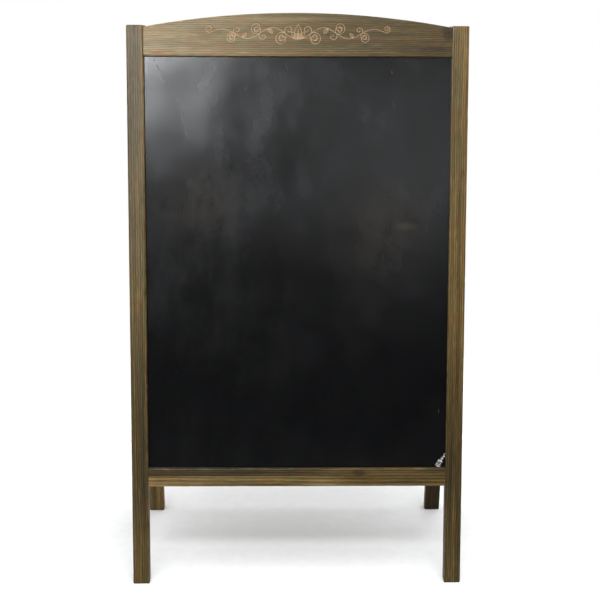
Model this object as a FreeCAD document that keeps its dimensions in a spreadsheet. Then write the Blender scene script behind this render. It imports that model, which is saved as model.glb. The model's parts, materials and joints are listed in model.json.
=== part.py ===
"""Double-sided folding menu board: two arched timber frames, each holding a black writing panel.

Units are millimetres. The board stands open on the floor, which is z = 0. +X runs to the right of
someone reading the front, +Y runs from the front frame to the rear frame, and the origin is on the
floor midway between the four feet.

Both frames are drawn upright and folded together, in a frame of their own whose origin is the
hinge pins' axis: the front frame then lies on the -Y side of the axis. A placement leans the front
frame back by half the opening angle, and the same placement turned half round the vertical makes
the rear frame, whose top edge is trimmed a few millimetres lower.
"""
import FreeCAD, Part
import math
import os
import re

import Sketcher
from FreeCAD import Placement, Rotation, Vector

DRIVING_SIZES = {
    # The two frames
    "frame_width": 700,
    "stile_length": 1175,
    "stile_width": 35,
    "timber_depth": 25,
    "timber_round": 2,
    "top_rail_low": 1112,
    "arch_end_height": 59.5,
    "arch_peak_height": 88,
    "bottom_rail_low": 213,
    "bottom_rail_height": 39,
    # The writing panel and the groove that holds it
    "panel_thickness": 3.5,
    "panel_slack": 2,
    "groove_depth": 8,
    "groove_width": 3.9,
    "groove_setback": 8.8,
    # The dowels in the corner joints
    "dowel_radius": 5,
    "dowel_length": 50,
    "dowel_clearance": 0.05,
    "stile_socket": 21,
    "rail_socket": 31,
    "top_dowel_spacing": 30,
    "bottom_dowel_spacing": 16,
    # How the frames stand and fold
    "half_opening": 8.4,
    "rear_top_trim": 4,
    "frame_gap": 6,
    "pin_below_peak": 14,
    # The butt hinges on the backs of the top rails
    "hinge_offset": 150,
    "leaf_length": 60,
    "leaf_height": 38,
    "leaf_thickness": 1.5,
    "knuckle_radius": 2.6,
    "knuckle_count": 5,
    "knuckle_gap": 0.2,
    "pin_radius": 1.2,
    "pin_clearance": 0.05,
    "pin_head_radius": 2.2,
    "pin_head_height": 1,
    "screw_spacing": 40,
    "screw_first_row": 12,
    "screw_second_row": 29,
    "screw_radius": 1.75,
    "screw_length": 16,
    "screw_head_radius": 3.4,
    "screw_clearance": 0.05,
    # The folding stays and their pivot bolts
    "pivot_height": 308,
    "pivot_setback": 19,
    "bolt_radius": 2.5,
    "bolt_clearance": 0.2,
    "bolt_head_radius": 5,
    "bolt_head_rise": 2.5,
    "bolt_overhang": 1.5,
    "link_width": 12,
    "link_thickness": 2,
    "eye_clearance": 0.06,
    "running_gap": 0.1,
    "lap_gap": 0.4,
    "washer_radius": 5,
    "washer_thickness": 1,
    "nut_flats": 8,
    "nut_height": 4,
    "rivet_radius": 2.5,
    "rivet_head_radius": 4.5,
    "rivet_head_rise": 0.8,
}

# Places that several pieces share, as formulas of the driving sizes.
# In a frame's own coordinates a height above the foot is turned into z by taking PIN_HEIGHT off.
PIN_HEIGHT = "(top_rail_low + arch_peak_height - pin_below_peak)"
OUTER_FACE = "(-frame_gap / 2 - timber_depth)"
INNER_FACE = "(-frame_gap / 2)"
STILE_INSIDE = "(frame_width / 2 - stile_width)"
RAIL_LENGTH = "(frame_width - 2 * stile_width)"
MID_DEPTH = "(-frame_gap / 2 - timber_depth / 2)"
GROOVE_FACE = f"({OUTER_FACE} + groove_setback)"
HALF_OPENING = "(half_opening * 1 deg)"
ARCH_RISE = "(arch_peak_height - arch_end_height)"
TOP_DOWEL_MIDDLE = "(top_rail_low + arch_end_height / 2)"
BOTTOM_DOWEL_MIDDLE = "(bottom_rail_low + (bottom_rail_height - groove_depth) / 2)"
PIVOT_Y = f"({OUTER_FACE} + pivot_setback)"
PIVOT_Z = f"(pivot_height - {PIN_HEIGHT})"

# Where the pivot bolts stand with the board open, from the hinge pins' axis.
OPEN_PIVOT_Y = f"({PIVOT_Y} * cos({HALF_OPENING}) + {PIVOT_Z} * sin({HALF_OPENING}))"
OPEN_PIVOT_Z = f"({PIVOT_Z} * cos({HALF_OPENING}) - {PIVOT_Y} * sin({HALF_OPENING}))"

# The stay's stack along each bolt, as distances in from the stile's inner side face.
FRONT_LINK_OUT = "(washer_thickness + running_gap)"
FRONT_LINK_IN = f"({FRONT_LINK_OUT} + link_thickness)"
REAR_LINK_OUT = f"({FRONT_LINK_IN} + lap_gap)"
REAR_LINK_IN = f"({REAR_LINK_OUT} + link_thickness)"

ALONG_X = Rotation(Vector(0, 1, 0), 90)
AGAINST_X = Rotation(Vector(0, 1, 0), -90)
TOWARDS_OUTSIDE = Rotation(Vector(1, 0, 0), 90)
LEFT, RIGHT = -1, 1
SIDE_NAMES = {LEFT: "left", RIGHT: "right"}

doc = FreeCAD.newDocument("MenuBoard")
sheet = doc.addObject("Spreadsheet::Sheet", "Size")
for row, (alias, value) in enumerate(DRIVING_SIZES.items(), start=1):
    sheet.set(f"A{row}", alias.replace("_", " "))
    sheet.set(f"B{row}", str(value))
    sheet.setAlias(f"B{row}", alias)
doc.recompute()

sub_parts = []


def with_sheet(formula):
    """Write every driving size in a formula as a reference to its spreadsheet cell."""
    def reference(word):
        return "Size." + word.group() if word.group() in DRIVING_SIZES else word.group()
    return re.sub(r"[a-z_]+", reference, str(formula))


def bind(item, name, formula):
    item.setExpression(name, with_sheet(formula))


def bind_position(item, root, position):
    """Bind the three coordinates of a Placement or an AttachmentOffset to formulas."""
    for coordinate, formula in zip("xyz", position):
        bind(item, f"{root}.Base.{coordinate}", formula)


def size(alias):
    return float(sheet.get(alias))


def finish(item, label, placement):
    """Label an object as a sub-part of the board and set it in its place."""
    item.Label = label
    item.Placement = placement
    sub_parts.append(item)


# ---- PartDesign helpers -------------------------------------------------------------------

ROUGH_CORNERS = [Vector(0, 0), Vector(600, 0), Vector(600, 60), Vector(0, 60)]
ROUGH_CROWN = Vector(300, 90)


def new_body(name):
    return doc.addObject("PartDesign::Body", name)


def attach(item, body, role, position, rotation=Rotation()):
    """Attach a sketch or a primitive to one of its own body's origin planes, at a position."""
    plane = next(plane for plane in body.Origin.OriginFeatures if plane.Role == role)
    item.AttachmentSupport = [(plane, "")]
    item.MapMode = "FlatFace"
    item.AttachmentOffset = Placement(Vector(), rotation)
    bind_position(item, "AttachmentOffset", position)


def pad_outline(body, role, position, corners, thickness, arch_radius=None):
    """Pad a four-cornered outline whose first corner is at the position given.

    The other three corners are (across, up) from there. With an arch radius, the run between the
    third corner and the fourth is an arc of that radius which bulges upwards.
    """
    sketch = body.newObject("Sketcher::SketchObject", body.Name + "Outline")
    attach(sketch, body, role, position)
    for index, start in enumerate(ROUGH_CORNERS):
        end = ROUGH_CORNERS[(index + 1) % 4]
        arched = arch_radius and index == 2
        sketch.addGeometry(Part.Arc(start, ROUGH_CROWN, end) if arched else Part.LineSegment(start, end))
    for index in range(4):
        sketch.addConstraint(Sketcher.Constraint("Coincident", index, 2, (index + 1) % 4, 1))
    sketch.addConstraint(Sketcher.Constraint("Coincident", 0, 1, -1, 1))
    for index, (across, up) in enumerate(corners, start=1):
        rough = ROUGH_CORNERS[index]
        for kind, start_value, formula in (("DistanceX", rough.x, across), ("DistanceY", rough.y, up)):
            number = sketch.addConstraint(Sketcher.Constraint(kind, -1, 1, index, 1, start_value))
            bind(sketch, f"Constraints[{number}]", formula)
    if arch_radius:
        number = sketch.addConstraint(Sketcher.Constraint("Radius", 2, sketch.Geometry[2].Radius))
        bind(sketch, f"Constraints[{number}]", arch_radius)
    pad = body.newObject("PartDesign::Pad", body.Name + "Pad")
    pad.Profile = sketch
    bind(pad, "Length", thickness)
    doc.recompute()
    return pad


def feature(body, kind, position, rotation=Rotation(), **sizes):
    """Add or cut a PartDesign primitive, such as a SubtractiveBox, in a body."""
    item = body.newObject("PartDesign::" + kind, body.Name + kind)
    attach(item, body, "XY_Plane", position, rotation)
    for name, formula in sizes.items():
        bind(item, name, formula)
    return item


def round_edges(body, pad, chosen):
    """Round those edges of a body's pad for which the chosen test is true."""
    names = [f"Edge{number}" for number, edge in enumerate(pad.Shape.Edges, start=1) if chosen(edge)]
    fillet = body.newObject("PartDesign::Fillet", body.Name + "Rounding")
    fillet.Base = (pad, names)
    bind(fillet, "Radius", "timber_round")
    doc.recompute()


def runs_along_x(edge):
    return edge.BoundBox.XLength > 1


# ---- Part helpers, for small hardware and for groups of identical pieces --------------------

def primitive(kind, position, rotation=Rotation(), **sizes):
    item = doc.addObject("Part::" + kind, kind)
    item.Placement = Placement(Vector(), rotation)
    bind_position(item, "Placement", position)
    for name, formula in sizes.items():
        bind(item, name, formula)
    return item


def fuse(*items):
    fusion = doc.addObject("Part::MultiFuse", "Fusion")
    fusion.Shapes = list(items)
    return fusion


def cut(base, tool):
    difference = doc.addObject("Part::Cut", "Difference")
    difference.Base = base
    difference.Tool = tool
    return difference


def group(name, items):
    """Gather identical loose pieces, which stay separate solids, in one object."""
    compound = doc.addObject("Part::Compound", name)
    compound.Links = items
    return compound


def dome(position, rotation, radius, rise):
    """A spherical cap that stands on its flat face, which is centred on the position."""
    ball_radius = f"(({radius})^2 + ({rise})^2) / (2 * {rise})"
    across, along, up = position
    back_from_pole = 1 if rotation is AGAINST_X else -1
    centre = (f"{across} + {back_from_pole} * ({ball_radius} - {rise})", along, up)
    cap_starts = f"asin(1 - {rise} / ({ball_radius}))"
    return primitive("Sphere", centre, rotation, Radius=ball_radius, Angle1=cap_starts)


def ring(position, rotation, outer_radius, inner_radius, thickness):
    """A washer or bush: a short cylinder with a hole through it."""
    outside = primitive("Cylinder", position, rotation, Radius=outer_radius, Height=thickness)
    hole = primitive("Cylinder", position, rotation, Radius=inner_radius, Height=thickness)
    return cut(outside, hole)


def facing(side):
    """The rotation that turns a primitive's own z away from the board's middle on this side."""
    return ALONG_X if side == RIGHT else AGAINST_X


# ---- The timber frame ------------------------------------------------------------------------

DOWEL_HEIGHTS = [
    f"({TOP_DOWEL_MIDDLE} - top_dowel_spacing / 2)",
    f"({TOP_DOWEL_MIDDLE} + top_dowel_spacing / 2)",
    f"({BOTTOM_DOWEL_MIDDLE} - bottom_dowel_spacing / 2)",
    f"({BOTTOM_DOWEL_MIDDLE} + bottom_dowel_spacing / 2)",
]
TOP_DOWELS, BOTTOM_DOWELS = DOWEL_HEIGHTS[:2], DOWEL_HEIGHTS[2:]


def drill_sockets(body, side, heights, depth):
    """Drill dowel sockets of one depth from the plane where a stile meets the rails."""
    for height in heights:
        start = (f"{side} * {STILE_INSIDE} - {depth}", MID_DEPTH, f"{height} - {PIN_HEIGHT}")
        feature(body, "SubtractiveCylinder", start, ALONG_X,
                Radius="dowel_radius + dowel_clearance", Height=f"2 * {depth}")


def trimmed(frame, top):
    """The height of a top edge, which the rear frame has a little lower."""
    return f"({top} - rear_top_trim)" if frame == "rear" else top


def make_stile(frame, side):
    """An upright of the frame, its foot cut to sit flat on the floor when the board is open."""
    body = new_body(f"{frame}Stile")
    left_face = f"{side} * ({STILE_INSIDE} + stile_width / 2) - stile_width / 2"
    foot = f"-{PIN_HEIGHT}"
    foot_bevel = f"timber_depth * tan({HALF_OPENING})"
    top = trimmed(frame, "stile_length")
    corners = [("timber_depth", foot_bevel), ("timber_depth", top), ("0", top)]
    pad = pad_outline(body, "YZ_Plane", (OUTER_FACE, foot, left_face), corners, "stile_width")
    round_edges(body, pad, lambda edge: True)
    groove_low = f"bottom_rail_low + bottom_rail_height - groove_depth - {PIN_HEIGHT}"
    groove_start = (f"{side} * {STILE_INSIDE} - groove_depth", GROOVE_FACE, groove_low)
    groove_run = "top_rail_low - bottom_rail_low - bottom_rail_height + 2 * groove_depth"
    feature(body, "SubtractiveBox", groove_start,
            Length="2 * groove_depth", Width="groove_width", Height=groove_run)
    drill_sockets(body, side, DOWEL_HEIGHTS, "stile_socket")
    bolt_hole = (f"{side} * ({STILE_INSIDE} + stile_width / 2) - stile_width", PIVOT_Y, PIVOT_Z)
    feature(body, "SubtractiveCylinder", bolt_hole, ALONG_X,
            Radius="bolt_radius + bolt_clearance", Height="2 * stile_width")
    return body


def groove_rail(body, edge_height):
    """Plough the panel's groove along a rail's edge, which is at this height above the foot."""
    start = (f"-{STILE_INSIDE}", GROOVE_FACE, f"{edge_height} - groove_depth - {PIN_HEIGHT}")
    feature(body, "SubtractiveBox", start,
            Length=RAIL_LENGTH, Width="groove_width", Height="2 * groove_depth")


def make_top_rail(frame):
    """The rail with the arched upper edge, which also carries the two hinges."""
    body = new_body(f"{frame}TopRail")
    corner = (f"-{STILE_INSIDE}", f"top_rail_low - {PIN_HEIGHT}", f"-{INNER_FACE}")
    arch_end = trimmed(frame, "arch_end_height")
    corners = [(RAIL_LENGTH, "0"), (RAIL_LENGTH, arch_end), ("0", arch_end)]
    arch_radius = f"({STILE_INSIDE}^2 + {ARCH_RISE}^2) / (2 * {ARCH_RISE})"
    pad = pad_outline(body, "XZ_Plane", corner, corners, "timber_depth", arch_radius)
    round_edges(body, pad, runs_along_x)
    groove_rail(body, "top_rail_low")
    for side in (LEFT, RIGHT):
        drill_sockets(body, side, TOP_DOWELS, "rail_socket")
        for across, up in screw_places(side):
            feature(body, "SubtractiveCylinder", (across, INNER_FACE, up), TOWARDS_OUTSIDE,
                    Radius="screw_radius + screw_clearance", Height="screw_length")
    return body


def make_bottom_rail(frame):
    body = new_body(f"{frame}BottomRail")
    corner = (f"-{STILE_INSIDE}", f"bottom_rail_low - {PIN_HEIGHT}", f"-{INNER_FACE}")
    corners = [(RAIL_LENGTH, "0"), (RAIL_LENGTH, "bottom_rail_height"), ("0", "bottom_rail_height")]
    pad = pad_outline(body, "XZ_Plane", corner, corners, "timber_depth")
    round_edges(body, pad, runs_along_x)
    groove_rail(body, "bottom_rail_low + bottom_rail_height")
    for side in (LEFT, RIGHT):
        drill_sockets(body, side, BOTTOM_DOWELS, "rail_socket")
    return body


def make_panel(frame):
    """The writing panel, which stands on the floor of the bottom rail's groove."""
    body = new_body(f"{frame}Panel")
    reach = f"({STILE_INSIDE} + groove_depth - panel_slack / 2)"
    groove_floor = f"bottom_rail_low + bottom_rail_height - groove_depth - {PIN_HEIGHT}"
    inner_face = f"-({GROOVE_FACE} + (groove_width + panel_thickness) / 2)"
    width = f"2 * {reach}"
    rise = "top_rail_low - bottom_rail_low - bottom_rail_height + 2 * groove_depth - panel_slack"
    corners = [(width, "0"), (width, rise), ("0", rise)]
    pad_outline(body, "XZ_Plane", (f"-{reach}", groove_floor, inner_face), corners, "panel_thickness")
    return body


def make_dowels(frame):
    dowels = []
    outer_end = f"({STILE_INSIDE} + (stile_socket - rail_socket + dowel_length) / 2)"
    for side in (LEFT, RIGHT):
        for height in DOWEL_HEIGHTS:
            start = (f"{side} * {outer_end}", MID_DEPTH, f"{height} - {PIN_HEIGHT}")
            dowels.append(primitive("Cylinder", start, facing(-side),
                                    Radius="dowel_radius", Height="dowel_length"))
    return group(f"{frame}Dowels", dowels)


# ---- The hinges --------------------------------------------------------------------------------

def screw_places(side):
    """The four screws of the hinge on this side, as (across, up) from the pins' axis."""
    middle = f"{side} * hinge_offset"
    return [(f"{middle} + {hand} * screw_spacing / 2", f"-{row}")
            for hand in (LEFT, RIGHT) for row in ("screw_first_row", "screw_second_row")]


def make_leaf(frame, side):
    """A hinge leaf lying on a top rail's back, with every second knuckle of the barrel."""
    body = new_body(f"{frame}Leaf")
    first_knuckle = 0 if frame == "front" else 1
    left_end = f"{side} * hinge_offset - leaf_length / 2"
    face = "frame_gap / 2 - leaf_thickness"
    corners = [("leaf_length", "0"), ("leaf_length", "leaf_height"), ("0", "leaf_height")]
    pad_outline(body, "XZ_Plane", (left_end, "-leaf_height", face), corners, "leaf_thickness")
    pitch = "leaf_length / knuckle_count"
    for index in range(int(size("knuckle_count"))):
        knuckle_start = f"{left_end} + {index} * {pitch}"
        if index % 2 == first_knuckle:
            feature(body, "AdditiveCylinder", (f"{knuckle_start} + knuckle_gap / 2", "0", "0"), ALONG_X,
                    Radius="knuckle_radius", Height=f"{pitch} - knuckle_gap")
        else:
            notch = (f"{knuckle_start} - knuckle_gap / 2", INNER_FACE, "-knuckle_radius - 2 * knuckle_gap")
            feature(body, "SubtractiveBox", notch, Length=f"{pitch} + knuckle_gap",
                    Width="leaf_thickness", Height="knuckle_radius + 2 * knuckle_gap")
    feature(body, "SubtractiveCylinder", (left_end, "0", "0"), ALONG_X,
            Radius="pin_radius + pin_clearance", Height="leaf_length")
    for across, up in screw_places(side):
        feature(body, "SubtractiveCone", (across, f"-({face})", up), TOWARDS_OUTSIDE,
                Radius1="screw_head_radius + screw_clearance",
                Radius2="screw_radius + screw_clearance", Height="leaf_thickness")
    return body


def make_pin(side):
    """A hinge pin with a flat head just beyond each end of the barrel."""
    left_end = f"({side} * hinge_offset - leaf_length / 2)"
    right_end = f"({side} * hinge_offset + leaf_length / 2)"
    shank = primitive("Cylinder", (left_end, "0", "0"), ALONG_X, Radius="pin_radius", Height="leaf_length")
    left_head = primitive("Cylinder", (left_end, "0", "0"), AGAINST_X,
                          Radius="pin_head_radius", Height="pin_head_height")
    right_head = primitive("Cylinder", (right_end, "0", "0"), ALONG_X,
                           Radius="pin_head_radius", Height="pin_head_height")
    return fuse(shank, left_head, right_head)


def make_hinge_screws(frame):
    """Countersunk screws through both leaves on one frame, their heads flush with the leaves."""
    screws = []
    leaf_face = "-frame_gap / 2 + leaf_thickness"
    for side in (LEFT, RIGHT):
        for across, up in screw_places(side):
            head = primitive("Cone", (across, leaf_face, up), TOWARDS_OUTSIDE, Radius1="screw_head_radius",
                             Radius2="screw_radius", Height="leaf_thickness")
            shank = primitive("Cylinder", (across, INNER_FACE, up), TOWARDS_OUTSIDE,
                              Radius="screw_radius", Height="screw_length - leaf_thickness")
            screws.append(fuse(head, shank))
    return group(f"{frame}HingeScrews", screws)


# ---- The folding stays --------------------------------------------------------------------------

def inwards(side, distance):
    """The x of a plane this far in from the inner side face of the stile on this side."""
    return f"{side} * ({STILE_INSIDE} - ({distance}))"


# What sits on each frame's pivot bolt, as distances in from the stile: where the link starts, and
# where the nut starts behind the washer that follows the link.
LINK_PLANES = {"front": FRONT_LINK_OUT, "rear": REAR_LINK_OUT}


def nut_face(frame):
    return f"({LINK_PLANES[frame]} + link_thickness + running_gap + washer_thickness)"


def make_link(frame, side):
    """Half of a stay, from the pivot bolt to the knuckle on the board's middle plane."""
    plane = inwards(side, LINK_PLANES[frame])
    thickness = "link_thickness"
    pivot, knuckle = (plane, OPEN_PIVOT_Y, OPEN_PIVOT_Z), (plane, "0", OPEN_PIVOT_Z)
    towards_middle = facing(-side)
    corner_x = plane if side == LEFT else f"{plane} - link_thickness"
    bar = primitive("Box", (corner_x, OPEN_PIVOT_Y, f"{OPEN_PIVOT_Z} - link_width / 2"),
                    Length=thickness, Width=f"-{OPEN_PIVOT_Y}", Height="link_width")
    ends = [primitive("Cylinder", centre, towards_middle, Radius="link_width / 2", Height=thickness)
            for centre in (pivot, knuckle)]
    eye = primitive("Cylinder", pivot, towards_middle, Radius="bolt_radius + eye_clearance", Height=thickness)
    rivet_hole = primitive("Cylinder", knuckle, towards_middle,
                           Radius="rivet_radius + pin_clearance", Height=thickness)
    return cut(fuse(bar, *ends), fuse(eye, rivet_hole))


def make_rivet(frame, side):
    """This link's half of the knuckle rivet: a shank through the link and a low domed head."""
    if frame == "front":
        head_plane, outwards = inwards(side, LINK_PLANES[frame]), facing(side)
    else:
        head_plane, outwards = inwards(side, f"{LINK_PLANES[frame]} + link_thickness"), facing(-side)
    shank = primitive("Cylinder", (inwards(side, LINK_PLANES[frame]), "0", OPEN_PIVOT_Z), facing(-side),
                      Radius="rivet_radius", Height="link_thickness")
    head = dome((head_plane, "0", OPEN_PIVOT_Z), outwards, "rivet_head_radius", "rivet_head_rise")
    return fuse(shank, head)


def make_bolts(frame):
    """The two pivot bolts of a frame, each with a domed head outside its stile."""
    bolts = []
    for side in (LEFT, RIGHT):
        start = (f"{side} * frame_width / 2", PIVOT_Y, PIVOT_Z)
        reach = f"stile_width + {nut_face(frame)} + nut_height + bolt_overhang"
        shank = primitive("Cylinder", start, facing(-side), Radius="bolt_radius", Height=reach)
        head = dome(start, facing(side), "bolt_head_radius", "bolt_head_rise")
        bolts.append(fuse(shank, head))
    return group(f"{frame}PivotBolts", bolts)


def make_washers(frame):
    """On each bolt, a spacer from the stile to the link and a washer under the nut."""
    rings = []
    hole = "bolt_radius + eye_clearance"
    for side in (LEFT, RIGHT):
        spacer_start = (inwards(side, "0"), PIVOT_Y, PIVOT_Z)
        spacer = f"{LINK_PLANES[frame]} - running_gap"
        rings.append(ring(spacer_start, facing(-side), "washer_radius", hole, spacer))
        washer_start = (inwards(side, f"{nut_face(frame)} - washer_thickness"), PIVOT_Y, PIVOT_Z)
        rings.append(ring(washer_start, facing(-side), "washer_radius", hole, "washer_thickness"))
    return group(f"{frame}StayWashers", rings)


def make_nuts(frame):
    nuts = []
    for side in (LEFT, RIGHT):
        start = (inwards(side, nut_face(frame)), PIVOT_Y, PIVOT_Z)
        block = primitive("Prism", start, facing(-side),
                          Circumradius="nut_flats / (2 * cos(30 deg))", Height="nut_height")
        hole = primitive("Cylinder", start, facing(-side),
                         Radius="bolt_radius + eye_clearance", Height="nut_height")
        nuts.append(cut(block, hole))
    return group(f"{frame}LockNuts", nuts)


# ---- Assembly -------------------------------------------------------------------------------------

lean = math.radians(size("half_opening"))
pin_height = size("top_rail_low") + size("arch_peak_height") - size("pin_below_peak")
outer_face = size("frame_gap") / 2 + size("timber_depth")
pin_above_floor = pin_height * math.cos(lean) - outer_face * math.sin(lean)

HALF_TURN = Placement(Vector(), Rotation(Vector(0, 0, 1), 180))
UPRIGHT = Placement(Vector(0, 0, pin_above_floor), Rotation())
LEANING = Placement(Vector(0, 0, pin_above_floor), Rotation(Vector(1, 0, 0), -size("half_opening")))

for frame in ("front", "rear"):
    turn = Placement() if frame == "front" else HALF_TURN
    leaning, upright = turn * LEANING, turn * UPRIGHT
    finish(make_top_rail(frame), f"{frame}_top_rail", leaning)
    finish(make_bottom_rail(frame), f"{frame}_bottom_rail", leaning)
    finish(make_panel(frame), f"{frame}_chalkboard_panel", leaning)
    finish(make_dowels(frame), f"{frame}_dowels", leaning)
    finish(make_hinge_screws(frame), f"{frame}_hinge_screws", leaning)
    finish(make_bolts(frame), f"{frame}_pivot_bolts", leaning)
    finish(make_washers(frame), f"{frame}_stay_washers", leaning)
    finish(make_nuts(frame), f"{frame}_lock_nuts", leaning)
    for side, side_name in SIDE_NAMES.items():
        # The rear frame is turned half round, so its pieces are drawn on the opposite side.
        drawn_side = side if frame == "front" else -side
        finish(make_stile(frame, drawn_side), f"{frame}_{side_name}_stile", leaning)
        finish(make_leaf(frame, drawn_side), f"{side_name}_hinge_{frame}_leaf", leaning)
        finish(make_link(frame, drawn_side), f"{side_name}_stay_{frame}_link", upright)
        finish(make_rivet(frame, drawn_side), f"{side_name}_stay_{frame}_rivet", upright)
for side, side_name in SIDE_NAMES.items():
    finish(make_pin(side), f"{side_name}_hinge_pin", UPRIGHT)

doc.recompute()
for item in doc.Objects:
    if "Invalid" in item.State or "Error" in item.State:
        raise RuntimeError(f"{item.Name} failed to recompute: {item.State}")
os.makedirs("parts", exist_ok=True)
for item in sub_parts:
    if item.Shape.isNull() or not item.Shape.isValid():
        raise RuntimeError(f"{item.Label} has no valid shape")
for item in sub_parts:
    item.Shape.exportStep(f"parts/{item.Label}.step")
    print(f"{item.Label}: {len(item.Shape.Solids)} solid(s), {item.Shape.Volume:.0f} mm3")
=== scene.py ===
"""The looks of the folding menu board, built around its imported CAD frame."""

import json
import math
import random

import bmesh
import bpy
from mathutils import Matrix, Vector, kdtree, noise


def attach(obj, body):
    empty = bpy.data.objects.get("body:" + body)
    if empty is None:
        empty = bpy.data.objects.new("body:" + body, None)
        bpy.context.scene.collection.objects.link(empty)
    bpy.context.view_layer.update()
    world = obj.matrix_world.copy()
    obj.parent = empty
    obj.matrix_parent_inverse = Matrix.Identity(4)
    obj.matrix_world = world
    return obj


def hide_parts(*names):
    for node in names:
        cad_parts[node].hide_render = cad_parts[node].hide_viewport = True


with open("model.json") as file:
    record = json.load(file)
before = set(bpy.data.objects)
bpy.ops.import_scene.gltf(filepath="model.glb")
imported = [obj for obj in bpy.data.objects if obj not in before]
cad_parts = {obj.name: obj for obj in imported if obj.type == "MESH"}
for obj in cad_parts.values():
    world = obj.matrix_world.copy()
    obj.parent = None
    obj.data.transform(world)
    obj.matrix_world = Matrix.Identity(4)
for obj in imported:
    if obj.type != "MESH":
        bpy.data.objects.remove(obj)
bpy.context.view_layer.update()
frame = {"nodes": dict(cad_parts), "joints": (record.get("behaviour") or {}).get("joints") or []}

MM = 0.001

# ---- The frames' own coordinates ------------------------------------------------------------
# Each timber frame leans on the hinge pins. Its upright coordinates have the pins' axis as their
# origin, x along the pins, y from the frame's outer face to its inner face, and z up the stiles.

fold = next(joint for joint in frame["joints"] if joint["name"] == "rear_fold")
PIN = Vector(fold["pos_m"])
LEAN = math.radians(fold["range_deg"][1]) / 2
LEANING = Matrix.Translation(PIN) @ Matrix.Rotation(-LEAN, 4, "X")
FRAMES = {"front": LEANING, "rear": Matrix.Rotation(math.pi, 4, "Z") @ LEANING}
BODIES = {"front": "front_frame", "rear": "rear_frame"}


def upright_box(node, side):
    """A CAD node's lowest and highest corner in its frame's upright coordinates."""
    back = FRAMES[side].inverted()
    points = [back @ vertex.co for vertex in frame["nodes"][node].data.vertices]
    low = Vector(min(point[axis] for point in points) for axis in range(3))
    high = Vector(max(point[axis] for point in points) for axis in range(3))
    return low, high


# ---- Shader helpers --------------------------------------------------------------------------

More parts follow.
